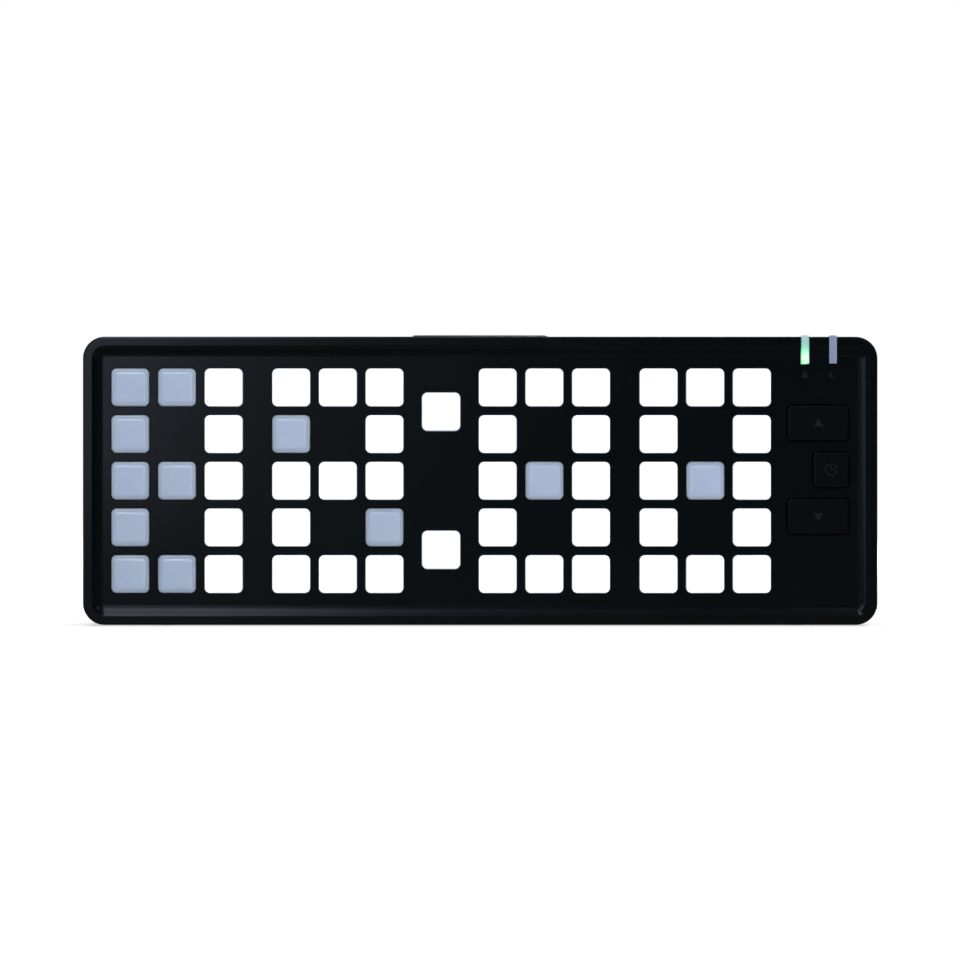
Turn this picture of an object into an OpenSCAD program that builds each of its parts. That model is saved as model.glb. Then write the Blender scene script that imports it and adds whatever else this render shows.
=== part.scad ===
// Digital alarm clock for a desk: raised square light keys in a tray-shaped front draw the digits.
// Millimetres. X to the right seen from the front, Y to the rear, Z up.
// The origin is on the table, in the middle of the footprint.

/* [Casing] */
// Width over the side walls
body_w = 200; // [199:0.5:206]
// Height of the casing without its feet
body_h = 72.6; // [72.4:0.2:78]
// Depth from the front rim to the rear face
body_d = 34; // [33:0.5:40]
// Corner radius seen from the front
corner_r = 5.5; // [5.3:0.1:6.5]
// Chamfer of both casing halves at their seam
seam_c = 0.25; // [0.1:0.05:0.4]
// Wall thickness of both casing halves
wall_t = 2; // [1.8:0.1:2.1]
// Rounding of the outer front edge
rim_round = 0.5; // [0.3:0.1:1]
// Flat part of the rim around the tray
rim_w = 2.3; // [2:0.1:2.4]
// Width of the hollow curve between rim and panel
cove_w = 2.7; // [2.6:0.05:2.8]
// Depth of the panel behind the rim
tray_d = 1; // [0.9:0.05:1.2]
// Thickness of the front panel
panel_t = 1.8; // [1.5:0.1:2.2]
// Depth of the rear cover
cover_d = 5.5; // [5:0.25:6.5]
// Rounding of the rear edge
rear_round = 3; // [1.5:0.25:3]
// Length of the lip that centres the rear cover in the housing
lip_d = 2; // [1.5:0.25:2.5]
// Thickness of that lip
lip_t = 1.2; // [1:0.1:1.4]
// Gap between pieces that are fixed to each other
fit_gap = 0.15; // [0.1:0.05:0.2]
// Gap around pieces that move
run_gap = 0.3; // [0.25:0.05:0.35]

/* [Keys] */
// Distance from the casing's left side to the first key
key_inset = 7.15; // [7:0.05:9]
// Distance from the casing's top and bottom to the keys
key_margin = 8.05; // [7.9:0.05:9]
// Gap between the keys of a digit
key_gap = 2.25; // [2:0.05:2.6]
// Gap between the digits of a pair
digit_gap = 7.5; // [7.2:0.1:9]
// Gap between the colon and the digits beside it
colon_gap = 4.75; // [4.5:0.05:6]
// Gap between the last digit and the buttons
button_space = 4.32; // [4:0.01:5]
// Corner radius of a key seen from the front
key_corner = 1.3; // [1.1:0.1:1.6]
// Rounding of the front edge of a key
key_round = 1; // [0.4:0.1:1]
// Height of the keys above the panel
key_proud = 0.9; // [0.8:0.1:1]
// Thickness of the hollow cap's walls
key_wall = 1.2; // [1:0.1:1.6]
// Thickness of the sheet that joins the keys of a digit
sheet_t = 1.2; // [0.8:0.1:1.6]
// Width of that sheet beyond the outer keys
sheet_margin = 1.4; // [1:0.1:1.4]
// Distance of the colon keys from the middle row
colon_rise = 17.4; // [14:0.1:22]

/* [Boards] */
// Depth of the light baffle
baffle_d = 7; // [6:0.5:7.5]
// Width of a baffle rib beyond the key's own edge
well_inset = 0.3; // [0:0.1:0.8]
// Thickness of both circuit boards
board_t = 1.6; // [1.2:0.2:1.6]
// Distance from the display board's edge to the side walls
board_edge_gap = 1.5; // [1:0.1:2]
// Radius of the posts that hold boards and casing
post_r = 2.1; // [2:0.05:2.1]
// Height of the display board's posts between digits, from the middle row
post_rise = 20; // [16:0.5:24]
// Side of a display light, seen from the front
led_w = 3.5; // [3:0.1:5]
// Height of a display light above its board
led_t = 1.9; // [1:0.1:2]

/* [Buttons] */
// Width of the up and down buttons
long_button_w = 15.25; // [14:0.25:15.5]
// Width of the set button
short_button_w = 8.85; // [8:0.05:10]
// Height of the front buttons
button_h = 8.8; // [8:0.1:9]
// Gap between the front buttons
button_row_gap = 2.95; // [2.8:0.05:3.2]
// Distance from the casing's side to the right ends of the buttons
button_inset = 7.28; // [7:0.02:7.6]
// Height of the set button above the middle row
button_rise = 2.8; // [1:0.1:4]
// Corner radius of the buttons
button_corner = 1.1; // [0.8:0.1:1.6]
// Rounding of the buttons' front edges
button_round = 0.4; // [0.2:0.1:0.6]
// Height of the front buttons above the panel
button_proud = 0.8; // [0.5:0.1:1.2]
// Gap that shows around a front button
button_gap = 0.35; // [0.3:0.05:0.4]
// Travel of the front buttons
button_travel = 0.5; // [0.3:0.05:0.6]
// Width of the stops that keep a button in its window
stop_w = 1; // [0.8:0.1:1.2]
// Length of the snooze bar
snooze_w = 34.5; // [30:0.5:40]
// Width of the snooze bar, front to rear
snooze_l = 10.4; // [8:0.2:11]
// Height of the snooze bar above the casing
snooze_proud = 0.7; // [0.6:0.1:1.5]
// Travel of the snooze bar
snooze_travel = 0.6; // [0.4:0.05:0.7]

/* [Light pipes] */
// Width of a light pipe
pipe_w = 1.9; // [1.6:0.1:2.4]
// Distance from the casing's side to the alarm pipe
alarm_pipe_inset = 18.2; // [17:0.1:19]
// Distance from the casing's side to the PM pipe
pm_pipe_inset = 11.2; // [10:0.1:12]
// Distance from the casing's top down to the pipes' lower ends
pipe_drop = 6.8; // [6.4:0.1:7.4]
// Height of the pipes above the casing's top
pipe_proud = 0.3; // [0.1:0.1:0.5]
// Length of a pipe on the casing's top
pipe_top_l = 5; // [4:0.25:7]

/* [Rear] */
// Distance of the speaker from the middle
speaker_x = -55; // [-60:1:-45]
// Radius of the speaker's rim
speaker_r = 14; // [13:0.25:15]
// Diameter of a grille hole
grille_hole = 1.8; // [1.2:0.1:2.2]
// Distance between grille holes
grille_pitch = 4; // [3.4:0.1:4.4]
// Distance of the coin cell from the middle
cell_x = 50; // [45:1:55]
// Radius of the coin cell
cell_r = 10; // [8:0.5:10]
// Thickness of the coin cell
cell_t = 3.2; // [2:0.1:3.2]
// Angle that the coin door turns through
door_turn = 40; // [35:1:60]
// Height of the power board's underside above the table
power_z = 9; // [8.6:0.1:12]
// Place of the power inlet
inlet_x = -9.5; // [-10:0.5:-9.5]
// Place of the alarm switch
alarm_x = 10.5; // [10.5:0.25:11]
// Travel of the alarm slider
alarm_travel = 3; // [2:0.1:3]

/* [Feet] */
// Radius of a rubber foot
foot_r = 4; // [3:0.25:4.5]
// Height of the feet below the casing
foot_proud = 0.3; // [0.2:0.1:0.6]
// Distance of the feet from the middle
foot_x = 80; // [70:1:88]

/* [Hidden] */
$fn = 48;

// Switches and stops behind the buttons
stop_t = 1;
switch_w = 6;
switch_t = 3.5;
plunger_r = 1.75;
plunger_out = 1.5;
plunger_in = 1;
snooze_switch_w = 7;
snooze_switch_l = 6.2;
snooze_switch_h = 4;
snooze_stem_l = 2;
snooze_corner = 1.5;
snooze_round = 0.5;
snooze_room_w = 2;
snooze_room_h = 0.5;

// Indicator lights and their pipes
indicator_w = 2;
indicator_t = 1;
pipe_round = 0.25;
pipe_set_back = 0.2;
pipe_head_gap = 0.6;
pipe_led_gap = 0.4;

// Screws and their posts
post_bore_r = 1;
board_screw_r = 0.95;
board_screw_l = 6;
board_hole_r = 1.2;
board_head_r = 1.9;
board_head_t = 1.3;
upper_post_rise = 24.5;
casing_post_inset = 30;
casing_screw_r = 1.1;
casing_screw_l = 10;
casing_bore_r = 1.15;
casing_hole_r = 1.3;
casing_head_r = 2;
casing_head_t = 1.5;
post_web_w = 2.6;
well_r = 2.3;
well_wall = 1.1;
well_d = 3.8;

// Chips on the display board
controller_w = 12;
controller_t = 1.4;
controller_place = [26, 4];
driver_w = 10;
driver_h = 6;
driver_t = 1.6;
driver_rise = 20;
crystal_r = 1;
crystal_l = 6;
crystal_place = [37, 4];

// Speaker
grille_rings = 2;
speaker_ring_t = 1.2;
speaker_ring_d = 4;
speaker_rim_w = 2;
speaker_rim_t = 1;
basket_d = 4.5;
basket_wall = 0.8;
basket_hole_r = 3;
magnet_r = 7.5;
magnet_d = 4;
cone_t = 0.4;
cone_d = 3;
dust_cap_r = 3.5;
dust_cap_h = 0.5;
lead_r = 0.6;
lead_space = 4;

// Coin cell, its cup and its door
door_margin = 2;
door_inset = 0.1;
tab_reach = 1.6;
tab_w = 5.7;
tab_d = 1.1;
door_slot_w = 1.6;
door_slot_l = 12;
door_slot_d = 0.8;
cup_wall = 1.4;
cup_floor = 1.2;
cell_step_w = 1.2;
cell_step_d = 0.5;
contact_t = 0.3;
contact_r = 6;
side_contact_h = 8;
cell_pin_r = 0.5;

// Power board and what stands on it
power_w = 48;
power_l = 12.6;
power_gap = 0.4;
shelf_x = 20.5;
shelf_w = 5;
shelf_l = 10;
shelf_screw_l = 7;
inlet_w = 8.94;
inlet_h = 3.26;
inlet_l = 7.3;
inlet_wall = 0.3;
inlet_back_t = 1;
inlet_inset = 0.4;
tongue_w = 6.7;
tongue_t = 0.7;
tongue_inset = 0.8;
slide_body_w = 8.6;
slide_body_l = 4;
slide_body_h = 3.6;
slide_body_gap = 0.6;
slider_w = 2;
slider_h = 1.6;
slider_l = 4.4;
slider_inset = 0.2;
finger_w = 2.5;
finger_h = 2;
finger_d = 1;
capacitor_r = 3;
capacitor_h = 7;
capacitor_x = 14.5;
regulator_w = 6.5;
regulator_l = 3.5;
regulator_t = 1.6;
regulator_x = -13.75;
part_inset = 1;

// Flat cable between the boards
ribbon_w = 8;
ribbon_t = 0.6;
ribbon_bend = 2;
ribbon_drop = 11;
header_w = 10;
header_l = 4;
header_h = 4;
header_inset = 3;

// Feet
foot_t = 1.3;
foot_edge = 1.5;
foot_space = 2.5;

// Planes of the stack, from the rim to the rear face
front_y = -body_d / 2;
rear_y = body_d / 2;
mid_z = foot_proud + body_h / 2;
panel_y = front_y + tray_d;
panel_back_y = panel_y + panel_t;
sheet_back_y = panel_back_y + sheet_t;
board_y = sheet_back_y + baffle_d;
board_back_y = board_y + board_t;
split_y = rear_y - cover_d;
lip_y = split_y - lip_d;
rear_wall_y = rear_y - wall_t;
inner_h = body_h / 2 - wall_t;
in_panel_y = panel_y + panel_t / 2;
in_rear_wall_y = rear_wall_y + wall_t / 2;

// Casing
flat_w = body_w - 2 * corner_r;
flat_h = body_h - 2 * corner_r;
cove_start = corner_r - rim_w - cove_w;
cove_r = (cove_w * cove_w + tray_d * tray_d) / (2 * tray_d);
lip_outer_r = corner_r - wall_t - fit_gap;
lip_inner_r = lip_outer_r - lip_t;
casing_post_z = inner_h - post_r - run_gap;
casing_post_x = body_w / 2 - casing_post_inset;
casing_posts = [for (sx = [-1, 1], sz = [-1, 1]) [sx * casing_post_x, sz * casing_post_z]];
seat_y = rear_y - well_d;
rear_foot_y = split_y - foot_edge - foot_r;
front_foot_y = rear_foot_y - 2 * foot_r - foot_space;

// Keys: four digits and the colon fill the width that the buttons and the gaps leave
digit_columns = 3;
digit_rows = 5;
digits_room = body_w - key_inset - button_space - long_button_w - button_inset;
digit_inner_gaps = (digit_columns - 1) * key_gap;
keys_room = digits_room - 2 * digit_gap - 2 * colon_gap - 4 * digit_inner_gaps;
key_w = keys_room / (4 * digit_columns + 1);
key_h = (body_h - 2 * key_margin - (digit_rows - 1) * key_gap) / digit_rows;
digit_w = digit_columns * key_w + digit_inner_gaps;
digit_cells = [
    for (row = [-2:2], col = [-1:1])
        if (col != 0 || abs(row) != 1) [col * (key_w + key_gap), row * (key_h + key_gap)]
];
colon_cells = [[0, colon_rise], [0, -colon_rise]];
hour_tens_x = key_inset + digit_w / 2 - body_w / 2;
hour_units_x = hour_tens_x + digit_w + digit_gap;
colon_x = hour_units_x + digit_w / 2 + colon_gap + key_w / 2;
minute_tens_x = colon_x + key_w / 2 + colon_gap + digit_w / 2;
minute_units_x = minute_tens_x + digit_w + digit_gap;
digit_places = [hour_tens_x, hour_units_x, minute_tens_x, minute_units_x];
all_cells = concat(
    [for (x = digit_places, cell = digit_cells) cell + [x, 0]],
    [for (cell = colon_cells) cell + [colon_x, 0]]
);
sheet_w = digit_w + 2 * sheet_margin;
sheet_h = body_h - 2 * key_margin + 2 * sheet_margin;

// Buttons
button_right = body_w / 2 - button_inset;
long_button_x = button_right - long_button_w / 2;
short_button_x = button_right - short_button_w / 2;
button_pitch = button_h + button_row_gap;
up_place = [long_button_x, button_rise + button_pitch];
set_place = [short_button_x, button_rise];
down_place = [long_button_x, button_rise - button_pitch];
plunger_y = board_y - switch_t - plunger_out;
snooze_y = board_back_y + snooze_switch_l / 2;
snooze_stop_z = inner_h - run_gap;
snooze_switch_top = snooze_stop_z - stop_t - snooze_stem_l - plunger_out;

// Light pipes
alarm_pipe_x = body_w / 2 - alarm_pipe_inset;
pm_pipe_x = body_w / 2 - pm_pipe_inset;
pipe_y = front_y + pipe_set_back;
pipe_top_y = pipe_y + pipe_top_l;
pipe_back_y = board_y - indicator_t - pipe_led_gap;
pipe_leg_z = inner_h - pipe_head_gap;
pipe_rise = body_h / 2 - pipe_drop;
indicator_z = (pipe_rise + pipe_leg_z) / 2;

// Display board
hour_gap_x = (hour_tens_x + hour_units_x) / 2;
minute_gap_x = (minute_tens_x + minute_units_x) / 2;
board_posts = [
    [hour_gap_x, post_rise], [hour_gap_x, -post_rise],
    [minute_gap_x, post_rise], [minute_gap_x, -post_rise],
    [long_button_x, upper_post_rise], [long_button_x, -post_rise]
];

// Speaker and coin cell
speaker_rim_y = rear_wall_y - speaker_rim_t;
basket_r = speaker_r - speaker_rim_w;
basket_y = speaker_rim_y - basket_d;
cone_r = basket_r - basket_wall - fit_gap;
door_r = cell_r + door_margin;
door_y = rear_y - door_inset;
cup_r = door_r + tab_reach + 2 * run_gap;
door_back_y = rear_wall_y - run_gap - tab_d;
cell_y = door_back_y - run_gap - cell_t;
cup_y = cell_y - contact_t;
cell_tag_x = cell_r + fit_gap + contact_t;

// Power board
power_top = power_z + board_t;
power_back_y = rear_wall_y - power_gap;
power_y = power_back_y - power_l;
shelf_screw_y = rear_wall_y - shelf_screw_l;
shelf_z = foot_proud + wall_t + fit_gap + lip_t / 2;
inlet_y = rear_y - inlet_inset;
inlet_z = power_top + inlet_h / 2 - mid_z;
slide_body_y = rear_wall_y - slide_body_gap - slide_body_l;
slider_y = rear_y - slider_inset;
slider_z = power_top + slide_body_h / 2 - mid_z;
slide_w = slider_w + alarm_travel + 2 * run_gap;
slide_h = slider_h + 2 * run_gap;
header_z = power_top + header_h + ribbon_drop - mid_z;
header_y = power_y + header_inset;
ribbon_x = (inlet_x + alarm_x) / 2;
ribbon_y = header_y + (header_l - ribbon_t) / 2;

// A front-view outline, drawn from the casing's centre, made solid between two depths.
module along_y(y0, y1) {
    translate([0, y1, mid_z])
        rotate([90, 0, 0])
            linear_extrude(y1 - y0)
                children();
}

// A side-view outline (Y and Z from the casing's centre) made solid over a width around x.
module along_x(x, w) {
    translate([x - w / 2, 0, mid_z])
        rotate([90, 0, 90])
            linear_extrude(w)
                children();
}

// A profile (radius, depth) turned around an axis that runs to the rear.
module turned(x) {
    translate([x, 0, mid_z])
        rotate([-90, 0, 0])
            rotate_extrude()
                children();
}

module rod(place, y0, y1, r) {
    along_y(y0, y1)
        translate(place)
            circle(r);
}

// A box around x and z, both from the casing's centre, between two depths.
module bar(x, z, w, h, y0, y1) {
    along_y(y0, y1)
        translate([x, z])
            square([w, h], center = true);
}

module rounded_rect(w, h, r) {
    square([w - 2 * r, h], center = true);
    square([w, h - 2 * r], center = true);
    for (sx = [-1, 1], sy = [-1, 1])
        translate([sx * (w / 2 - r), sy * (h / 2 - r)])
            circle(r);
}

// A profile (distance from the corner's centre, depth) carried around a rounded rectangle.
module edge_sweep(w, h, r) {
    cx = w / 2 - r;
    cz = h / 2 - r;
    for (side = [0, 1])
        mirror([side, 0, 0])
            translate([cx, 0, -cz])
                linear_extrude(2 * cz)
                    children();
    for (side = [0, 1])
        mirror([0, 0, side])
            translate([cx, 0, cz])
                rotate([0, -90, 0])
                    linear_extrude(2 * cx)
                        children();
    for (side = [0, 1], level = [0, 1])
        mirror([side, 0, 0])
            mirror([0, 0, level])
                translate([cx, 0, -cz])
                    rotate([-90, 0, 0])
                        rotate_extrude(angle = 90)
                            children();
}

// A strip from radius 0 to r whose outer corner at depth 0 is rounded.
module rounded_strip(r, depth, round_r) {
    difference() {
        square([r, depth]);
        translate([r - round_r, 0])
            difference() {
                translate([0, -1])
                    square([round_r + 1, round_r + 1]);
                translate([0, round_r])
                    circle(round_r);
            }
    }
}

// A block around the Y axis with its face at depth 0, whose face has rounded edges.
module rounded_block(w, h, r, depth, round_r) {
    edge_sweep(w, h, r)
        rounded_strip(r, depth, round_r);
    translate([-(w / 2 - r), 0, -(h / 2 - r)])
        cube([w - 2 * r, depth, h - 2 * r]);
}

module key_windows() {
    for (cell = all_cells)
        translate(cell)
            rounded_rect(key_w + 2 * fit_gap, key_h + 2 * fit_gap, key_corner + fit_gap);
}

module button_window(w, place) {
    translate(place)
        rounded_rect(w + 2 * button_gap, button_h + 2 * button_gap, button_corner + button_gap);
}

// The chamfer of a casing profile's outer edge where the halves meet.
module seam_cut(depth) {
    translate([corner_r, depth])
        polygon([[-seam_c, 0], [0, -seam_c], [seam_c, 0], [0, seam_c]]);
}

// Rim, cove, wall and the panel's edge, as a profile from the rim's plane.
module housing_profile() {
    difference() {
        rounded_strip(corner_r, split_y - front_y, rim_round);
        translate([-1, tray_d + panel_t])
            square([corner_r - wall_t + 1, body_d]);
        translate([-1, -1])
            square([cove_start + 1, tray_d + 1]);
        translate([cove_start, tray_d - cove_r])
            circle(cove_r);
        seam_cut(split_y - front_y);
    }
}

module pipe_slot(x) {
    slot_bottom = pipe_rise - fit_gap;
    bar(
        x, slot_bottom + body_h / 2, pipe_w + 2 * fit_gap, body_h,
        front_y - 1, pipe_top_y + fit_gap
    );
}

// A screw post with a web that ends inside the wall above or below it.
module casing_post(place) {
    web_h = inner_h + wall_t / 2 - casing_post_z;
    rod(place, in_panel_y, lip_y - fit_gap, post_r);
    bar(
        place.x, place.y + sign(place.y) * web_h / 2, post_web_w, web_h,
        in_panel_y, lip_y - fit_gap
    );
}

module foot_places() {
    for (sx = [-1, 1], y = [front_foot_y, rear_foot_y])
        translate([sx * foot_x, y, 0])
            children();
}

module front_housing() {
    color([0.07, 0.08, 0.09])
        difference() {
            union() {
                translate([0, front_y, mid_z])
                    edge_sweep(body_w, body_h, corner_r)
                        housing_profile();
                along_y(panel_y, panel_back_y)
                    difference() {
                        square([flat_w + wall_t, flat_h + wall_t], center = true);
                        key_windows();
                        button_window(long_button_w, up_place);
                        button_window(short_button_w, set_place);
                        button_window(long_button_w, down_place);
                    }
                for (place = board_posts)
                    rod(place, in_panel_y, board_y, post_r);
                for (place = casing_posts)
                    casing_post(place);
            }
            for (place = board_posts)
                rod(place, board_y - board_screw_l, board_y + 1, post_bore_r);
            for (place = casing_posts)
                rod(place, seat_y - casing_screw_l - 1, split_y, casing_bore_r);
            pipe_slot(alarm_pipe_x);
            pipe_slot(pm_pipe_x);
            translate([0, snooze_y, mid_z + body_h / 2 - wall_t - 1])
                linear_extrude(wall_t + 2)
                    rounded_rect(
                        snooze_w + 2 * run_gap, snooze_l + 2 * run_gap, snooze_corner + run_gap
                    );
            foot_places()
                cylinder(h = foot_t, r = foot_r + fit_gap);
        }
}

// Skirt, rounded rear edge and centring lip, as a profile from the rear face forwards.
module cover_profile() {
    difference() {
        union() {
            rounded_strip(corner_r, cover_d, rear_round);
            square([lip_outer_r, cover_d + lip_d]);
        }
        translate([-1, wall_t])
            square([lip_inner_r + 1, body_d]);
        seam_cut(cover_d);
    }
}

// Two sectors that the bayonet tabs of the coin door fill or pass through.
module bayonet(r, w) {
    intersection() {
        circle(r);
        square([3 * r, w], center = true);
    }
}

module grille() {
    circle(d = grille_hole);
    for (ring = [1:grille_rings], hole = [1:6 * ring])
        rotate(hole * 60 / ring)
            translate([ring * grille_pitch, 0])
                circle(d = grille_hole);
}

module stadium(w, h) {
    square([w - h, h], center = true);
    for (sx = [-1, 1])
        translate([sx * (w - h) / 2, 0])
            circle(d = h);
}

module rear_wall_holes() {
    translate([speaker_x, 0])
        grille();
    translate([cell_x, 0]) {
        circle(door_r + run_gap);
        rotate(-door_turn)
            bayonet(door_r + tab_reach + run_gap, tab_w + 2 * run_gap);
    }
    translate([inlet_x, inlet_z])
        stadium(inlet_w + 2 * run_gap, inlet_h + 2 * run_gap);
    translate([alarm_x, slider_z])
        square([slide_w, slide_h], center = true);
}

module power_shelf(x) {
    translate([x - shelf_w / 2, rear_wall_y - shelf_l, shelf_z])
        cube([shelf_w, shelf_l + wall_t / 2, power_z - shelf_z]);
}

module rear_cover() {
    color([0.07, 0.08, 0.09])
        difference() {
            union() {
                translate([0, rear_y, mid_z])
                    rotate([0, 0, 180])
                        edge_sweep(body_w, body_h, corner_r)
                            cover_profile();
                along_y(rear_wall_y, rear_y)
                    difference() {
                        square([flat_w + wall_t, flat_h + wall_t], center = true);
                        rear_wall_holes();
                    }
                for (place = casing_posts) {
                    rod(place, split_y, in_rear_wall_y, well_r + well_wall);
                    rod(place, lip_y, split_y, post_r);
                }
                along_y(rear_wall_y - speaker_ring_d, in_rear_wall_y)
                    translate([speaker_x, 0])
                        difference() {
                            circle(speaker_r + fit_gap + speaker_ring_t);
                            circle(speaker_r + fit_gap);
                        }
                along_y(cup_y - cup_floor, in_rear_wall_y)
                    translate([cell_x, 0])
                        difference() {
                            circle(cup_r + cup_wall);
                            circle(cup_r);
                        }
                rod([cell_x, 0], cup_y - cup_floor, cup_y, cup_r + cup_wall);
                power_shelf(shelf_x);
                power_shelf(-shelf_x);
            }
            for (place = casing_posts) {
                rod(place, seat_y, rear_y + 1, well_r);
                rod(place, lip_y - 1, rear_y, casing_hole_r);
            }
            for (x = [0, cell_tag_x])
                rod([cell_x + x, 0], cup_y - cup_floor - 1, cup_y + 1, cell_pin_r + fit_gap);
            for (sx = [-1, 1])
                translate([sx * shelf_x, shelf_screw_y, power_top - board_screw_l - fit_gap])
                    cylinder(h = board_screw_l, r = post_bore_r);
            along_y(rear_y - finger_d, rear_y + 1)
                translate([alarm_x, slider_z])
                    rounded_rect(slide_w + 2 * finger_w, slide_h + 2 * finger_h, finger_h / 2);
        }
}

module casing_screws() {
    color([0.55, 0.55, 0.57])
        for (place = casing_posts) {
            rod(place, seat_y, seat_y + casing_head_t, casing_head_r);
            rod(place, seat_y - casing_screw_l, seat_y, casing_screw_r);
        }
}

module rubber_feet() {
    color([0.12, 0.12, 0.12])
        foot_places()
            cylinder(h = foot_t, r = foot_r);
}

// The caps of one digit, hollow from behind, on the sheet that joins them.
module key_sheet(x, cells, w, h) {
    color([0.65, 0.71, 0.8])
        difference() {
            union() {
                for (cell = cells)
                    translate([x + cell.x, panel_y - key_proud, mid_z + cell.y])
                        rounded_block(
                            key_w, key_h, key_corner, sheet_back_y - panel_y + key_proud, key_round
                        );
                bar(x, 0, w, h, panel_back_y, sheet_back_y);
            }
            for (cell = cells)
                bar(
                    x + cell.x, cell.y, key_w - 2 * key_wall, key_h - 2 * key_wall,
                    panel_y - key_proud + key_wall, sheet_back_y + 1
                );
        }
}

module hour_tens_keys() {
    key_sheet(hour_tens_x, digit_cells, sheet_w, sheet_h);
}

module hour_units_keys() {
    key_sheet(hour_units_x, digit_cells, sheet_w, sheet_h);
}

module colon_keys() {
    key_sheet(colon_x, colon_cells, key_w + 2 * sheet_margin, sheet_h);
}

module minute_tens_keys() {
    key_sheet(minute_tens_x, digit_cells, sheet_w, sheet_h);
}

module minute_units_keys() {
    key_sheet(minute_units_x, digit_cells, sheet_w, sheet_h);
}

module light_baffle() {
    left = hour_tens_x - sheet_w / 2;
    right = minute_units_x + sheet_w / 2;
    color([0.9, 0.9, 0.88])
        along_y(sheet_back_y, board_y)
            difference() {
                translate([left, -sheet_h / 2])
                    square([right - left, sheet_h]);
                for (cell = all_cells)
                    translate(cell)
                        square([key_w - 2 * well_inset, key_h - 2 * well_inset], center = true);
                for (place = board_posts)
                    translate(place)
                        circle(post_r + fit_gap);
            }
}

module display_board() {
    notch_w = snooze_w + 2 * stop_w + 2 * snooze_room_w;
    color([0.05, 0.3, 0.16])
        along_y(board_y, board_back_y)
            difference() {
                square(
                    [
                        body_w - 2 * (wall_t + board_edge_gap),
                        body_h - 2 * (wall_t + board_edge_gap)
                    ],
                    center = true
                );
                for (place = board_posts)
                    translate(place)
                        circle(board_hole_r);
                for (place = casing_posts)
                    translate(place)
                        circle(post_r + run_gap);
                translate([-notch_w / 2, snooze_switch_top + snooze_room_h])
                    square([notch_w, body_h]);
            }
}

module display_leds() {
    color([0.95, 0.95, 0.9])
        for (cell = all_cells)
            bar(cell.x, cell.y, led_w, led_w, board_y - led_t, board_y);
}

module indicator_leds() {
    color([0.95, 0.95, 0.9])
        for (x = [alarm_pipe_x, pm_pipe_x])
            bar(x, indicator_z, indicator_w, indicator_w, board_y - indicator_t, board_y);
}

module board_screws() {
    color([0.6, 0.6, 0.62]) {
        for (place = board_posts) {
            rod(place, board_back_y, board_back_y + board_head_t, board_head_r);
            rod(place, board_back_y - board_screw_l, board_back_y, board_screw_r);
        }
        for (sx = [-1, 1])
            translate([sx * shelf_x, shelf_screw_y, power_top]) {
                cylinder(h = board_head_t, r = board_head_r);
                translate([0, 0, -board_screw_l])
                    cylinder(h = board_screw_l, r = board_screw_r);
            }
    }
}

// A strip up the tray and over the rim to the casing's top, with a leg to its light.
module light_pipe(x) {
    top = body_h / 2 + pipe_proud;
    intersection() {
        along_x(x, pipe_w)
            polygon([
                [pipe_y, pipe_rise], [pipe_y, top],
                [pipe_top_y, top], [pipe_top_y, pipe_leg_z],
                [pipe_back_y, pipe_leg_z], [pipe_back_y, pipe_rise]
            ]);
        along_y(pipe_y, pipe_back_y)
            translate([x, (pipe_rise + top) / 2])
                rounded_rect(pipe_w, top - pipe_rise, pipe_round);
    }
}

module alarm_light_pipe() {
    color([0.55, 0.85, 0.6])
        light_pipe(alarm_pipe_x);
}

module pm_light_pipe() {
    color([0.58, 0.62, 0.72])
        light_pipe(pm_pipe_x);
}

// A cap in its window, stops behind the panel, and a stem to the switch.
module front_button(w, place) {
    stop_y = panel_back_y + run_gap;
    color([0.06, 0.07, 0.08]) {
        translate([place.x, panel_y - button_proud, mid_z + place.y])
            rounded_block(
                w, button_h, button_corner, stop_y - panel_y + button_proud, button_round
            );
        bar(
            place.x, place.y, w + 2 * stop_w, button_h + 2 * stop_w,
            stop_y, stop_y + stop_t
        );
        rod(place, stop_y + stop_t, plunger_y, plunger_r);
    }
}

module switch_plunger(place) {
    color([0.1, 0.1, 0.1])
        rod(place, plunger_y, plunger_y + plunger_out + plunger_in, plunger_r);
}

module up_button() {
    front_button(long_button_w, up_place);
}

module up_plunger() {
    switch_plunger(up_place);
}

module set_button() {
    front_button(short_button_w, set_place);
}

module set_plunger() {
    switch_plunger(set_place);
}

module down_button() {
    front_button(long_button_w, down_place);
}

module down_plunger() {
    switch_plunger(down_place);
}

module button_switches() {
    bore_d = plunger_in + button_travel + run_gap;
    color([0.75, 0.75, 0.77])
        for (place = [up_place, set_place, down_place])
            difference() {
                bar(place.x, place.y, switch_w, switch_w, board_y - switch_t, board_y);
                rod(
                    place, board_y - switch_t - 1, board_y - switch_t + bore_d,
                    plunger_r + run_gap
                );
            }
}

module snooze_button() {
    top = mid_z + body_h / 2 + snooze_proud;
    stop_top = mid_z + snooze_stop_z;
    stem_z = mid_z + snooze_switch_top + plunger_out;
    color([0.07, 0.08, 0.09]) {
        translate([0, snooze_y, top])
            rotate([-90, 0, 0])
                rounded_block(snooze_w, snooze_l, snooze_corner, top - stop_top, snooze_round);
        translate([0, snooze_y, stop_top - stop_t])
            linear_extrude(stop_t)
                square([snooze_w + 2 * stop_w, snooze_l + 2 * stop_w], center = true);
        translate([0, snooze_y, stem_z])
            cylinder(h = stop_top - stop_t - stem_z, r = plunger_r);
    }
}

module snooze_plunger() {
    color([0.1, 0.1, 0.1])
        translate([0, snooze_y, mid_z + snooze_switch_top - plunger_in])
            cylinder(h = plunger_in + plunger_out, r = plunger_r);
}

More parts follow.
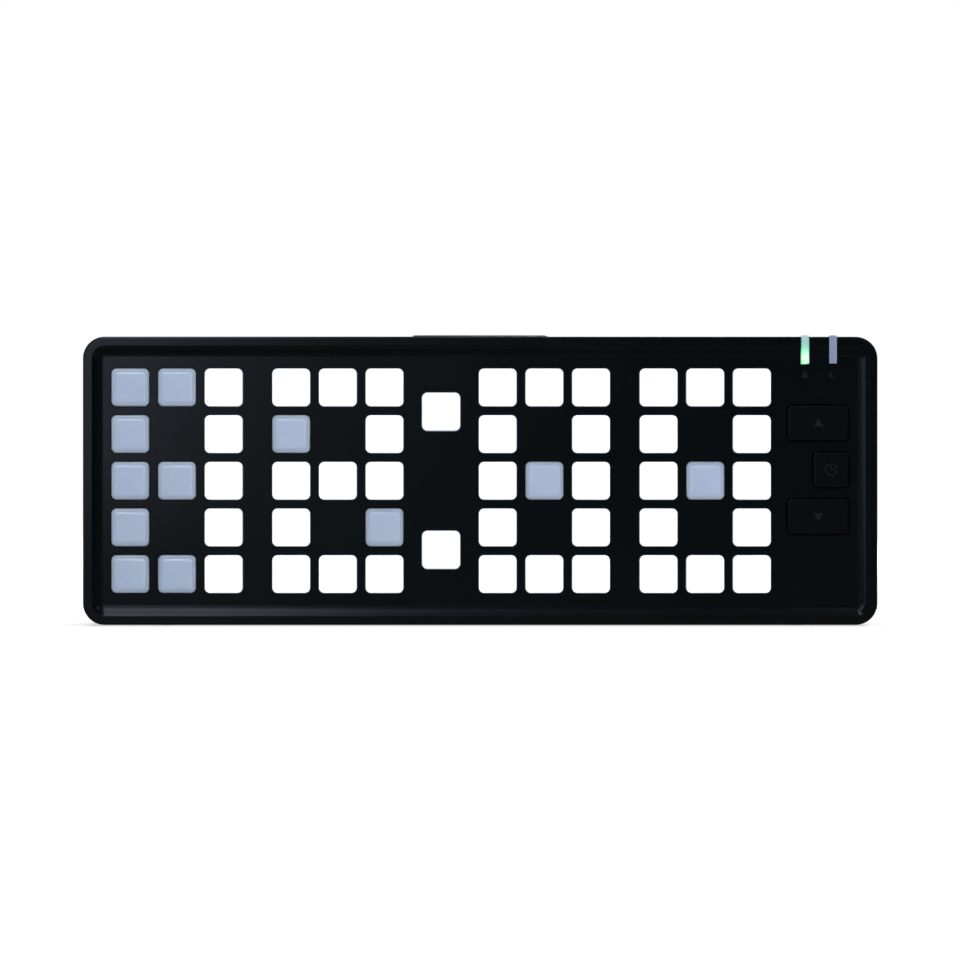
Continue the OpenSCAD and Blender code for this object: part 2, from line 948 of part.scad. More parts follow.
module snooze_switch() {
    bore_d = plunger_in + snooze_travel + run_gap;
    color([0.75, 0.75, 0.77])
        difference() {
            bar(
                0, snooze_switch_top - snooze_switch_h / 2, snooze_switch_w, snooze_switch_h,
                board_back_y, board_back_y + snooze_switch_l
            );
            translate([0, snooze_y, mid_z + snooze_switch_top - bore_d])
                cylinder(h = bore_d + 1, r = plunger_r + run_gap);
        }
}

module controller_chip() {
    color([0.1, 0.1, 0.11])
        bar(
            controller_place.x, controller_place.y, controller_w, controller_w,
            board_back_y, board_back_y + controller_t
        );
}

module driver_chips() {
    color([0.1, 0.1, 0.11])
        for (x = digit_places)
            bar(x, driver_rise, driver_w, driver_h, board_back_y, board_back_y + driver_t);
}

module clock_crystal() {
    color([0.8, 0.8, 0.82])
        translate([crystal_place.x, board_back_y + crystal_r + fit_gap, mid_z + crystal_place.y])
            cylinder(h = crystal_l, r = crystal_r, center = true);
}

module power_board() {
    color([0.05, 0.3, 0.16])
        difference() {
            translate([-power_w / 2, power_y, power_z])
                cube([power_w, power_l, board_t]);
            for (sx = [-1, 1])
                translate([sx * shelf_x, shelf_screw_y, power_z - 1])
                    cylinder(h = board_t + 2, r = board_hole_r);
        }
}

module usb_socket() {
    color([0.72, 0.73, 0.75])
        translate([inlet_x, 0, inlet_z])
            difference() {
                along_y(inlet_y - inlet_l, inlet_y)
                    stadium(inlet_w, inlet_h);
                along_y(inlet_y - inlet_l + inlet_back_t, inlet_y + 1)
                    stadium(inlet_w - 2 * inlet_wall, inlet_h - 2 * inlet_wall);
            }
}

module usb_tongue() {
    color([0.08, 0.08, 0.08])
        bar(
            inlet_x, inlet_z, tongue_w, tongue_t,
            inlet_y - inlet_l + inlet_back_t, inlet_y - tongue_inset
        );
}

module alarm_switch() {
    color([0.7, 0.7, 0.72])
        difference() {
            bar(
                alarm_x, slider_z, slide_body_w, slide_body_h,
                slide_body_y, slide_body_y + slide_body_l
            );
            bar(alarm_x, slider_z, slide_w, slide_h, slider_y - slider_l - run_gap, rear_y);
        }
}

module alarm_slider() {
    color([0.1, 0.1, 0.1])
        bar(
            alarm_x - alarm_travel / 2, slider_z, slider_w, slider_h,
            slider_y - slider_l, slider_y
        );
}

module reservoir_capacitor() {
    color([0.15, 0.18, 0.3])
        translate([capacitor_x, power_y + part_inset + capacitor_r, power_top])
            cylinder(h = capacitor_h, r = capacitor_r);
}

module regulator_chip() {
    color([0.1, 0.1, 0.11])
        translate([regulator_x - regulator_w / 2, power_y + part_inset, power_top])
            cube([regulator_w, regulator_l, regulator_t]);
}

// A flat cable from the display board's header, bent down to the power board's header.
module ribbon_cable() {
    start_y = board_back_y + header_l;
    foot_z = power_top + header_h - mid_z;
    color([0.75, 0.75, 0.72])
        along_x(ribbon_x, ribbon_w) {
            translate([start_y, header_z])
                square([ribbon_y - ribbon_bend - start_y, ribbon_t]);
            translate([ribbon_y - ribbon_bend, header_z - ribbon_bend])
                intersection() {
                    difference() {
                        circle(ribbon_bend + ribbon_t);
                        circle(ribbon_bend);
                    }
                    square(2 * ribbon_bend);
                }
            translate([ribbon_y, foot_z])
                square([ribbon_t, header_z - ribbon_bend - foot_z]);
        }
}

module ribbon_headers() {
    color([0.92, 0.9, 0.84]) {
        bar(
            ribbon_x, header_z + ribbon_t / 2, header_w, header_h,
            board_back_y, board_back_y + header_l
        );
        translate([ribbon_x - header_w / 2, header_y, power_top])
            cube([header_w, header_l, header_h]);
    }
}

module speaker_frame() {
    color([0.3, 0.3, 0.32])
        turned(speaker_x)
            polygon([
                [speaker_r, rear_wall_y], [speaker_r, speaker_rim_y],
                [basket_r, speaker_rim_y], [magnet_r + basket_wall, basket_y],
                [basket_hole_r, basket_y], [basket_hole_r, basket_y + basket_wall],
                [magnet_r, basket_y + basket_wall], [basket_r - basket_wall, speaker_rim_y],
                [basket_r - basket_wall, rear_wall_y]
            ]);
}

// A thin cone with a domed cap, one outline for both of its faces.
module speaker_cone() {
    edge_y = rear_wall_y - 2 * cone_t;
    low_y = edge_y - cone_d;
    color([0.16, 0.16, 0.17])
        turned(speaker_x)
            polygon([
                [cone_r, edge_y], [dust_cap_r, low_y], [0, low_y + dust_cap_h],
                [0, low_y + dust_cap_h + cone_t], [dust_cap_r, low_y + cone_t],
                [cone_r, edge_y + cone_t]
            ]);
}

module speaker_magnet() {
    color([0.25, 0.25, 0.26])
        rod([speaker_x, 0], basket_y - magnet_d, basket_y, magnet_r);
}

module speaker_leads() {
    color([0.7, 0.1, 0.1])
        for (side = [-1, 1])
            rod(
                [speaker_x + side * lead_space / 2, lead_r - speaker_r + fit_gap],
                board_back_y, speaker_rim_y, lead_r
            );
}

module coin_cell() {
    color([0.78, 0.78, 0.8])
        turned(cell_x)
            polygon([
                [0, cell_y], [cell_r - cell_step_w, cell_y],
                [cell_r - cell_step_w, cell_y + cell_step_d], [cell_r, cell_y + cell_step_d],
                [cell_r, cell_y + cell_t], [0, cell_y + cell_t]
            ]);
}

module cell_contacts() {
    color([0.8, 0.76, 0.6]) {
        rod([cell_x, 0], cup_y, cell_y, contact_r);
        bar(cell_x + cell_tag_x, 0, 2 * contact_t, side_contact_h, cup_y, cell_y + cell_t);
        for (x = [0, cell_tag_x])
            rod([cell_x + x, 0], cup_y - cup_floor, cup_y, cell_pin_r);
    }
}

module cell_leads() {
    color([0.7, 0.1, 0.1])
        for (x = [0, cell_tag_x])
            rod([cell_x + x, 0], board_back_y, cup_y - cup_floor, lead_r);
}

// A coin-slotted disc with two tabs that catch behind the rear wall.
module coin_door() {
    color([0.07, 0.08, 0.09])
        difference() {
            union() {
                rod([cell_x, 0], door_back_y, door_y, door_r);
                along_y(door_back_y, door_back_y + tab_d)
                    translate([cell_x, 0])
                        bayonet(door_r + tab_reach, tab_w);
            }
            bar(cell_x, 0, door_slot_w, door_slot_l, door_y - door_slot_d, door_y + 1);
        }
}

front_housing();
rear_cover();
casing_screws();
rubber_feet();
hour_tens_keys();
hour_units_keys();
colon_keys();
minute_tens_keys();
minute_units_keys();
light_baffle();
display_board();
display_leds();
indicator_leds();
board_screws();
alarm_light_pipe();
pm_light_pipe();
up_button();
up_plunger();
set_button();
set_plunger();
down_button();
down_plunger();
button_switches();
snooze_button();
snooze_plunger();
snooze_switch();
controller_chip();
driver_chips();
clock_crystal();
power_board();
usb_socket();
usb_tongue();
alarm_switch();
alarm_slider();
reservoir_capacitor();
regulator_chip();
ribbon_cable();
ribbon_headers();
speaker_frame();
speaker_cone();
speaker_magnet();
speaker_leads();
coin_cell();
cell_contacts();
cell_leads();
coin_door();
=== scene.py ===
"""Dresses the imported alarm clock: key caps, prints, screws, materials, studio and camera."""
import math

import bmesh
import bpy
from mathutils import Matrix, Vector


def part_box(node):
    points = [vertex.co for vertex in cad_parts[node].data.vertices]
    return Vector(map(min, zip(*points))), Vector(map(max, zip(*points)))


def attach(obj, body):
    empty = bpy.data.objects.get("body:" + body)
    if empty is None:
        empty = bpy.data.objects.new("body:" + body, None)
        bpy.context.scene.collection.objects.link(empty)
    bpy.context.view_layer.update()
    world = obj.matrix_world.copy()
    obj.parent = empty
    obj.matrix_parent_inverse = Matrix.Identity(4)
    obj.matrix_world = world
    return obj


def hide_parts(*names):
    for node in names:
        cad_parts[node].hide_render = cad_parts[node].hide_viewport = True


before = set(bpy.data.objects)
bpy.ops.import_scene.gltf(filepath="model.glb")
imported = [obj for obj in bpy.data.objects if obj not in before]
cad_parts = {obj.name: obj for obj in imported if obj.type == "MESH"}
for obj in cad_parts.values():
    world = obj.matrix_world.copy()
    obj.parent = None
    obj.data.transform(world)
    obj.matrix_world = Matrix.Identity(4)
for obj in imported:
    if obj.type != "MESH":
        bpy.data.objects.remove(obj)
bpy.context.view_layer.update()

MM = 0.001

# Planes of the casing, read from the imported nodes.
housing_lo, housing_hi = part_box("front_housing")
RIM_Y = housing_lo.y
REAR_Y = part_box("rear_cover")[1].y
MID_Z = (housing_lo.z + housing_hi.z) / 2
TRAY_DEPTH = 1.0 * MM
PANEL_Y = RIM_Y + TRAY_DEPTH

# Radii that the shading rounds edges with, and the depth behind the rim that has the larger one.
SHADE_R = 0.14 * MM
LIP_R = 0.25 * MM
LIP_DEPTH = 0.8 * MM
LIP_FADE = 0.6

# Key caps. Corners tighten by CORNER_LOSS times the inset.
KEY = 9.5 * MM
KEY_PITCH = 11.75 * MM
KEY_CORNER = 1.3 * MM
CORNER_LOSS = 0.5
EDGE_R = 0.3 * MM
FLANGE_W = 0.85 * MM
STEP_W = 0.55 * MM
STEP_H = 0.15 * MM
COLON_RISE = 17.4 * MM
SHEET_T = 1.2 * MM
SHEET_CORNER = 0.4 * MM
SHEET_CORNER_STEPS = 3
CORNER_STEPS = 7
ROUND_STEPS = 8

# The vertex attribute edge is 0 on a cap's face and has these values further out; the cap colours
# paint shade from it.
SIDE_EDGE = 1.0
FLANGE_OUTER_EDGE = 0.6
FLANGE_INNER_EDGE = 0.4

# Keys of 12:00, rows from the top: # is lit, . is unlit, and a blank has no key.
LIT, UNLIT = "#", "."
MIDDLE_ROW, MIDDLE_COLUMN = 2, 1
DIGIT_KEYS = {
    "hour_tens_keys": ("..#", ". #", "..#", ". #", "..#"),
    "hour_units_keys": ("###", ". #", "###", "# .", "###"),
    "minute_tens_keys": ("###", "# #", "#.#", "# #", "###"),
    "minute_units_keys": ("###", "# #", "#.#", "# #", "###"),
}


# ---------------------------------------------------------------- materials


class Graph:
    """A material's node tree with short calls for the nodes used here."""

    def __init__(self, name):
        self.material = bpy.data.materials.new(name)
        self.material.use_nodes = True
        self.tree = self.material.node_tree
        self.shader = self.tree.nodes["Principled BSDF"]
        self.coords = self.add("ShaderNodeTexCoord").outputs["Object"]

    def add(self, kind, **values):
        node = self.tree.nodes.new(kind)
        for key, value in values.items():
            setattr(node, key, value)
        return node

    def link(self, source, target):
        self.tree.links.new(source, target)

    def set(self, **values):
        for key, value in values.items():
            self.shader.inputs[key.replace("_", " ")].default_value = value

    def axes(self):
        """The place on the object as X, Y and Z."""
        node = self.add("ShaderNodeSeparateXYZ")
        self.link(self.coords, node.inputs["Vector"])
        return node.outputs

    def noise(self, scale, detail=3.0, roughness=0.5, stretch=None):
        node = self.add("ShaderNodeTexNoise")
        node.inputs["Scale"].default_value = scale
        node.inputs["Detail"].default_value = detail
        node.inputs["Roughness"].default_value = roughness
        source = self.coords
        if stretch:
            mapping = self.add("ShaderNodeMapping")
            mapping.inputs["Scale"].default_value = stretch
            self.link(source, mapping.inputs["Vector"])
            source = mapping.outputs["Vector"]
        self.link(source, node.inputs["Vector"])
        return node.outputs["Fac"]

    def cells(self, scale):
        node = self.add("ShaderNodeTexVoronoi", feature="F1")
        node.inputs["Scale"].default_value = scale
        self.link(self.coords, node.inputs["Vector"])
        return node.outputs["Distance"]

    def ramp(self, source, *stops):
        node = self.add("ShaderNodeValToRGB")
        elements = node.color_ramp.elements
        while len(elements) < len(stops):
            elements.new(0.5)
        for element, (position, colour) in zip(elements, stops):
            element.position = position
            element.color = (*colour, 1.0)
        self.link(source, node.inputs["Fac"])
        return node.outputs["Color"]

    def spread(self, source, low, high, from_low=0.3, from_high=0.7):
        node = self.add("ShaderNodeMapRange")
        node.inputs["From Min"].default_value = from_low
        node.inputs["From Max"].default_value = from_high
        node.inputs["To Min"].default_value = low
        node.inputs["To Max"].default_value = high
        self.link(source, node.inputs["Value"])
        return node.outputs["Result"]

    def times(self, first, second):
        node = self.add("ShaderNodeMix", data_type="RGBA", blend_type="MULTIPLY")
        node.inputs["Factor"].default_value = 1.0
        self.link(first, node.inputs["A"])
        self.link(second, node.inputs["B"])
        return node.outputs["Result"]

    def colour(self, source):
        self.link(source, self.shader.inputs["Base Color"])

    def glow(self, source):
        self.link(source, self.shader.inputs["Emission Color"])
        self.set(Emission_Strength=1.0)

    def rough(self, source):
        self.link(source, self.shader.inputs["Roughness"])

    def bump(self, *layers, edge=0.0):
        """Stacks bumps (height, strength, depth) on a softly rounded edge normal."""
        normal = None
        if edge:
            bevel = self.add("ShaderNodeBevel", samples=6)
            if isinstance(edge, bpy.types.NodeSocket):
                self.link(edge, bevel.inputs["Radius"])
            else:
                bevel.inputs["Radius"].default_value = edge
            normal = bevel.outputs["Normal"]
        for height, strength, depth in layers:
            node = self.add("ShaderNodeBump")
            node.inputs["Strength"].default_value = strength
            node.inputs["Distance"].default_value = depth
            self.link(height, node.inputs["Height"])
            if normal:
                self.link(normal, node.inputs["Normal"])
            normal = node.outputs["Normal"]
        self.link(normal, self.shader.inputs["Normal"])


def grey(value):
    return (value, value, value)


def moulded_plastic(name, dark, light, rough, specular, grain=5200.0, relief=0.1, lip=None):
    """Fine matte injection-moulded plastic: spark-eroded grain and faint flow clouds.

    Edges near the front, within the depth lip, are rounder than the rest.
    """
    g = Graph(name)
    edge = SHADE_R
    if lip:
        edge = g.spread(g.axes()["Y"], LIP_R, SHADE_R, RIM_Y + LIP_FADE * lip, RIM_Y + lip)
    g.colour(g.ramp(g.noise(34.0), (0.3, dark), (0.72, light)))
    g.rough(g.spread(g.noise(60.0), *rough))
    g.bump(
        (g.noise(grain, 2.0, 0.6), relief, 0.012 * MM),
        (g.noise(420.0, 2.0), 0.03, 0.03 * MM),
        edge=edge,
    )
    g.set(Specular_IOR_Level=specular)
    return g.material


def key_plastic(name, lit):
    """Satin translucent cap, shaded by the vertex attribute edge."""
    g = Graph(name)
    edge = g.add("ShaderNodeAttribute", attribute_name="edge").outputs["Fac"]
    if lit:
        # The base colour is darker towards the sides.
        g.colour(g.ramp(edge, (0.0, (0.62, 0.65, 0.69)), (1.0, (0.5, 0.54, 0.6))))
        light = g.ramp(
            edge, (0.0, grey(1.0)), (0.5, (0.84, 0.86, 0.89)), (1.0, (0.22, 0.25, 0.3))
        )
        g.glow(light)
    else:
        # Painted shade: the colour darkens over the flange to the sides, where less light gets
        # into the cap; the lighter band at 0.2 is a painted highlight that evens out the shade of
        # the step.
        face = g.ramp(
            edge,
            (0.0, (0.374, 0.453, 0.578)), (0.2, (0.396, 0.479, 0.611)),
            (0.4, (0.352, 0.42, 0.53)), (0.6, (0.304, 0.352, 0.43)),
            (1.0, (0.194, 0.226, 0.277)),
        )
        mottle = g.ramp(
            g.noise(650.0, 4.0, 0.6), (0.25, (0.975, 0.98, 0.985)), (0.75, grey(1.0))
        )
        g.colour(g.times(face, mottle))
        g.set(
            Subsurface_Weight=1.0,
            Subsurface_Radius=(1.0, 1.1, 1.3),
            Subsurface_Scale=0.9 * MM,
        )
    polish = g.ramp(
        edge, (0.0, grey(0.55)), (0.05, grey(0.14)), (0.4, grey(0.16)), (1.0, grey(0.3))
    )
    wear = g.ramp(g.noise(130.0, 4.0), (0.3, grey(0.85)), (0.7, grey(1.0)))
    g.rough(g.times(polish, wear))
    g.bump((g.noise(2600.0, 2.0), 0.03, 0.006 * MM))
    g.set(Specular_IOR_Level=0.26)
    return g.material


def pipe_plastic(name, lit, lo, hi):
    """Clear light pipe. The lit one is brightest just above its lower end and fades above that."""
    g = Graph(name)
    axes = g.axes()
    height = g.spread(axes["Z"], 0.0, 1.0, lo.z, hi.z)
    streaks = g.noise(900.0, stretch=(1.0, 1.0, 0.12))
    if lit:
        g.colour(g.ramp(height, (0.0, (0.2, 0.29, 0.33)), (1.0, (0.21, 0.27, 0.38))))
        core = g.ramp(
            height,
            (0.04, (0.41, 0.92, 0.42)), (0.19, (0.66, 0.95, 0.52)), (0.3, (0.54, 0.84, 0.46)),
            (0.4, (0.28, 0.72, 0.35)), (0.51, (0.05, 0.56, 0.18)), (0.62, (0.05, 0.36, 0.14)),
            (0.76, (0.09, 0.22, 0.13)), (0.95, (0.17, 0.22, 0.18)),
        )
        across = g.spread(axes["X"], 0.0, 1.0, lo.x, hi.x)
        rim = g.ramp(
            across,
            (0.0, (0.45, 0.82, 0.6)), (0.3, grey(1.0)),
            (0.7, grey(1.0)), (1.0, (0.45, 0.82, 0.6)),
        )
        g.glow(g.times(core, rim))
    else:
        g.colour(g.ramp(height, (0.0, (0.15, 0.196, 0.28)), (1.0, (0.172, 0.222, 0.318))))
    g.rough(g.spread(streaks, 0.14, 0.28))
    g.bump((streaks, 0.06, 0.02 * MM), edge=0.12 * MM)
    g.set(Specular_IOR_Level=0.5, Coat_Weight=0.2, Coat_Roughness=0.1)
    return g.material


def print_ink(name, low, high):
    """Pad-printed ink, slightly uneven where it covers the grain."""
    g = Graph(name)
    patches = g.noise(3200.0, 4.0, 0.65)
    g.colour(g.ramp(patches, (0.3, low), (0.7, high)))
    g.rough(g.spread(patches, 0.45, 0.62))
    g.bump((g.noise(5200.0, 2.0), 0.15, 0.01 * MM))
    g.set(Specular_IOR_Level=0.13)
    return g.material


def metal(name, dark, light, rough, stretch, scale):
    """Rolled, stamped or turned metal with marks along one direction and tarnished patches."""
    g = Graph(name)
    marks = g.noise(scale, 4.0, 0.6, stretch=stretch)
    g.colour(g.ramp(g.noise(220.0, 4.0, 0.6), (0.28, dark), (0.74, light)))
    g.rough(g.spread(marks, *rough))
    g.bump((marks, 0.12, 0.01 * MM), edge=0.08 * MM)
    g.set(Metallic=1.0)
    return g.material


def rubber(name):
    """Matte rubber with a pebbled surface and some dust."""
    g = Graph(name)
    dust = g.noise(300.0, 5.0, 0.7)
    g.colour(g.ramp(dust, (0.35, (0.018, 0.018, 0.019)), (0.8, (0.045, 0.044, 0.042))))
    g.rough(g.spread(dust, 0.72, 0.92))
    g.bump(
        (g.cells(2600.0), 0.35, 0.05 * MM), (g.noise(900.0), 0.2, 0.03 * MM), edge=0.2 * MM
    )
    g.set(Specular_IOR_Level=0.25)
    return g.material


def circuit_board(name):
    """Green solder mask over glass weave, with copper fills showing as lighter fields."""
    g = Graph(name)
    fields = g.add("ShaderNodeTexBrick", offset=0.37, squash=0.7)
    fields.inputs["Scale"].default_value = 90.0
    fields.inputs["Mortar Size"].default_value = 0.035
    fields.inputs["Color1"].default_value = (0.012, 0.13, 0.05, 1)
    fields.inputs["Color2"].default_value = (0.018, 0.17, 0.07, 1)
    fields.inputs["Mortar"].default_value = (0.006, 0.075, 0.03, 1)
    g.link(g.coords, fields.inputs["Vector"])
    g.colour(fields.outputs["Color"])
    weave = g.add("ShaderNodeTexWave", wave_type="BANDS", bands_direction="DIAGONAL")
    weave.inputs["Scale"].default_value = 1500.0
    g.link(g.coords, weave.inputs["Vector"])
    g.rough(g.spread(g.noise(160.0), 0.28, 0.42))
    g.bump((weave.outputs["Fac"], 0.06, 0.02 * MM), (fields.outputs["Fac"], 0.25, 0.03 * MM))
    g.set(Coat_Weight=0.25, Coat_Roughness=0.15)
    return g.material


def resin(name, dark, light, rough, speckle=2400.0):
    """Moulded epoxy or thermoplastic of the small parts, with a granular surface."""
    g = Graph(name)
    grain = g.noise(speckle, 3.0, 0.6)
    g.colour(g.ramp(grain, (0.3, dark), (0.7, light)))
    g.rough(g.spread(grain, *rough))
    g.bump((grain, 0.2, 0.02 * MM), edge=0.12 * MM)
    return g.material


def fibre(name):
    """Pressed paper pulp of the speaker cone."""
    g = Graph(name)
    pulp = g.noise(1900.0, 6.0, 0.7)
    g.colour(g.ramp(pulp, (0.25, (0.028, 0.028, 0.03)), (0.75, (0.075, 0.073, 0.07))))
    g.rough(g.spread(pulp, 0.75, 0.95))
    g.bump((pulp, 0.5, 0.06 * MM), (g.noise(260.0), 0.2, 0.05 * MM))
    g.set(Specular_IOR_Level=0.2)
    return g.material


def insulation(name, dark, light):
    """Ribbed plastic cover of the leads and the flat cable."""
    g = Graph(name)
    ribs = g.add("ShaderNodeTexWave", wave_type="BANDS", bands_direction="X")
    ribs.inputs["Scale"].default_value = 250.0
    ribs.inputs["Distortion"].default_value = 1.5
    g.link(g.coords, ribs.inputs["Vector"])
    g.colour(g.ramp(g.noise(500.0), (0.3, dark), (0.7, light)))
    g.rough(g.spread(g.noise(700.0), 0.35, 0.5))
    g.bump((ribs.outputs["Fac"], 0.2, 0.05 * MM))
    return g.material


def sleeve(name):
    """Dark blue shrink sleeve of the capacitor."""
    g = Graph(name)
    wrap = g.noise(380.0, stretch=(1.0, 1.0, 0.2))
    g.colour(g.ramp(wrap, (0.3, (0.012, 0.016, 0.05)), (0.7, (0.022, 0.028, 0.085))))
    g.rough(g.spread(wrap, 0.18, 0.32))
    g.bump((wrap, 0.25, 0.05 * MM), edge=0.3 * MM)
    g.set(Coat_Weight=0.3, Coat_Roughness=0.12)
    return g.material


EVEN = (1.0, 1.0, 1.0)

casing_mat = moulded_plastic(
    "casing_plastic", (0.0008, 0.0015, 0.002), (0.0012, 0.002, 0.0026),
    rough=(0.2, 0.22), specular=0.125, lip=LIP_DEPTH,
)
button_mat = moulded_plastic(
    "button_plastic", (0.0009, 0.0014, 0.0018), (0.0013, 0.0019, 0.0024),
    rough=(0.22, 0.25), specular=0.125, grain=6500.0,
)
cover_mat = moulded_plastic(
    "cover_plastic", (0.0066, 0.0074, 0.0085), (0.0108, 0.0119, 0.0135),
    rough=(0.4, 0.52), specular=0.32, grain=2400.0, relief=0.8,
)
slider_mat = moulded_plastic(
    "slider_plastic", (0.01, 0.01, 0.011), (0.017, 0.017, 0.018),
    rough=(0.4, 0.5), specular=0.4,
)
lit_mat = key_plastic("key_lit_plastic", True)
unlit_mat = key_plastic("key_plastic", False)
ink_mat = print_ink("dark_ink", (0.003, 0.0034, 0.004), (0.0044, 0.005, 0.0057))
rear_ink_mat = print_ink("pale_ink", (0.1, 0.105, 0.11), (0.15, 0.155, 0.16))
screw_mat = metal(
    "zinc_plate", (0.36, 0.36, 0.35), (0.56, 0.56, 0.55),
    rough=(0.25, 0.42), stretch=EVEN, scale=1400.0,
)
steel_mat = metal(
    "stamped_steel", (0.52, 0.53, 0.54), (0.68, 0.69, 0.7),
    rough=(0.22, 0.36), stretch=(6.0, 1.0, 1.0), scale=700.0,
)
switch_mat = metal(
    "switch_can", (0.46, 0.46, 0.47), (0.62, 0.62, 0.63),
    rough=(0.3, 0.45), stretch=(1.0, 5.0, 1.0), scale=600.0,
)
gold_mat = metal(
    "gold_plate", (0.62, 0.45, 0.16), (0.83, 0.63, 0.26),
    rough=(0.2, 0.35), stretch=(1.0, 4.0, 1.0), scale=900.0,
)
contact_mat = metal(
    "spring_brass", (0.48, 0.37, 0.16), (0.68, 0.55, 0.28),
    rough=(0.25, 0.4), stretch=(1.0, 6.0, 1.0), scale=700.0,
)
basket_mat = resin(
    "basket_paint", (0.05, 0.05, 0.053), (0.085, 0.085, 0.09), rough=(0.4, 0.55), speckle=1500.0
)
rubber_mat = rubber("foot_rubber")
board_mat = circuit_board("circuit_board")
chip_mat = resin("chip_resin", (0.012, 0.012, 0.013), (0.022, 0.022, 0.023), rough=(0.5, 0.65))
baffle_mat = resin(
    "baffle_white", (0.74, 0.74, 0.7), (0.84, 0.84, 0.81), rough=(0.5, 0.65), speckle=1200.0
)
led_mat = resin(
    "led_resin", (0.78, 0.74, 0.5), (0.9, 0.88, 0.72), rough=(0.25, 0.4), speckle=900.0
)
plunger_mat = resin(
    "plunger_nylon", (0.012, 0.012, 0.013), (0.024, 0.024, 0.025), rough=(0.4, 0.55)
)
cone_mat = fibre("cone_paper")
red_wire_mat = insulation("red_insulation", (0.3, 0.012, 0.01), (0.45, 0.02, 0.016))
ribbon_mat = insulation("grey_ribbon", (0.33, 0.32, 0.3), (0.48, 0.47, 0.44))
can_mat = sleeve("capacitor_sleeve")
alarm_pipe_mat = pipe_plastic("alarm_pipe_plastic", True, *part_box("alarm_light_pipe"))
pm_pipe_mat = pipe_plastic("pm_pipe_plastic", False, *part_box("pm_light_pipe"))

DRESS = {
    casing_mat: ("front_housing", "snooze_button"),
    cover_mat: ("rear_cover", "coin_door"),
    button_mat: ("up_button", "set_button", "down_button"),
    slider_mat: ("alarm_slider",),
    unlit_mat: tuple(DIGIT_KEYS),
    lit_mat: ("colon_keys",),
    alarm_pipe_mat: ("alarm_light_pipe",),
    pm_pipe_mat: ("pm_light_pipe",),
    baffle_mat: ("light_baffle", "ribbon_headers"),
    board_mat: ("display_board", "power_board"),
    led_mat: ("display_leds", "indicator_leds"),
    screw_mat: ("casing_screws", "board_screws"),
    rubber_mat: ("rubber_feet",),
    switch_mat: ("button_switches", "snooze_switch", "alarm_switch"),
    plunger_mat: ("up_plunger", "set_plunger", "down_plunger", "snooze_plunger"),
    chip_mat: ("controller_chip", "driver_chips", "regulator_chip", "usb_tongue"),
    steel_mat: ("usb_socket", "coin_cell", "clock_crystal"),
    contact_mat: ("cell_contacts",),
    can_mat: ("reservoir_capacitor",),
    red_wire_mat: ("speaker_leads", "cell_leads"),
    ribbon_mat: ("ribbon_cable",),
    basket_mat: ("speaker_frame", "speaker_magnet"),
    cone_mat: ("speaker_cone",),
}
for material, names in DRESS.items():
    for name in names:
        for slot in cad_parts[name].material_slots:
            slot.material = material


# ---------------------------------------------------------------- mesh tools


def piece(name, bm, material, body, smooth=True):
    """Turns a bmesh into a piece that rides on a body."""
    bmesh.ops.recalc_face_normals(bm, faces=bm.faces)
    mesh = bpy.data.meshes.new(name)
    bm.to_mesh(mesh)
    bm.free()
    mesh.polygons.foreach_set("use_smooth", [smooth] * len(mesh.polygons))
    mesh.materials.append(material)
    obj = bpy.data.objects.new(name, mesh)
    bpy.context.scene.collection.objects.link(obj)
    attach(obj, body)
    return obj


def centre(node):
    """The middle of a node's box, seen from the front."""
    lo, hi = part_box(node)
    return (lo.x + hi.x) / 2, (lo.z + hi.z) / 2


def rounded_outline(w, h, r, steps=CORNER_STEPS):
    """Points of a rounded rectangle around the origin, counter-clockwise."""
    points = []
    for sx, sz, start in ((1, 1, 0), (-1, 1, 90), (-1, -1, 180), (1, -1, 270)):
        for i in range(steps + 1):
            a = math.radians(start + 90 * i / steps)
            x = sx * (w / 2 - r) + r * math.cos(a)
            z = sz * (h / 2 - r) + r * math.sin(a)
            points.append((x, z))
    return points


def loft(bm, loops):
    """Joins closed loops of equal length with quads, and fills both ends."""
    count = len(loops[0])
    for first, second in zip(loops, loops[1:]):
        for i in range(count):
            j = (i + 1) % count
            bm.faces.new((first[i], first[j], second[j], second[i]))
    bm.faces.new(loops[0])
    bm.faces.new(loops[-1])


def cap_profile(front_y, back_y):
    """Inset, depth and edge value from a cap's back to its face.

    The side comes first, then the rounded edge, the flange and the step up to the face.
    """
    flange_y = front_y + STEP_H
    profile = [(0.0, back_y, SIDE_EDGE)]
    for i in range(ROUND_STEPS + 1):
        t = i / ROUND_STEPS
        turn = math.radians(90) * t
        inset = EDGE_R * (1 - math.cos(turn))
        depth = flange_y + EDGE_R * (1 - math.sin(turn))
        profile.append((inset, depth, SIDE_EDGE - (SIDE_EDGE - FLANGE_OUTER_EDGE) * t))
    for i in range(ROUND_STEPS + 1):
        t = i / ROUND_STEPS
        rise = STEP_H * (1 - math.cos(math.pi * t)) / 2
        profile.append((FLANGE_W + STEP_W * t, flange_y - rise, FLANGE_INNER_EDGE * (1 - t)))
    return profile


def add_cap(bm, edge_layer, x, z, front_y, back_y):
    """One key cap: straight sides, a flange with a rounded edge, and a soft step to the face."""
    loops = []
    for inset, y, edge in cap_profile(front_y, back_y):
        side = KEY - 2 * inset
        loop = []
        for px, pz in rounded_outline(side, side, KEY_CORNER - CORNER_LOSS * inset):
            vert = bm.verts.new((x + px, y, z + pz))
            vert[edge_layer] = edge
            loop.append(vert)
        loops.append(loop)
    loft(bm, loops)


def add_plate(bm, outline, y0, y1, edge_layer=None):
    """An outline (x, z) made solid between two depths."""
    loops = [[bm.verts.new((x, y, z)) for x, z in outline] for y in (y0, y1)]
    # With an edge layer the whole plate takes a cap side's edge value, so it gets the darkest
    # colour of the cap ramps, which paint shade towards the sides.
    if edge_layer:
        for vert in loops[0] + loops[1]:
            vert[edge_layer] = SIDE_EDGE
    loft(bm, loops)


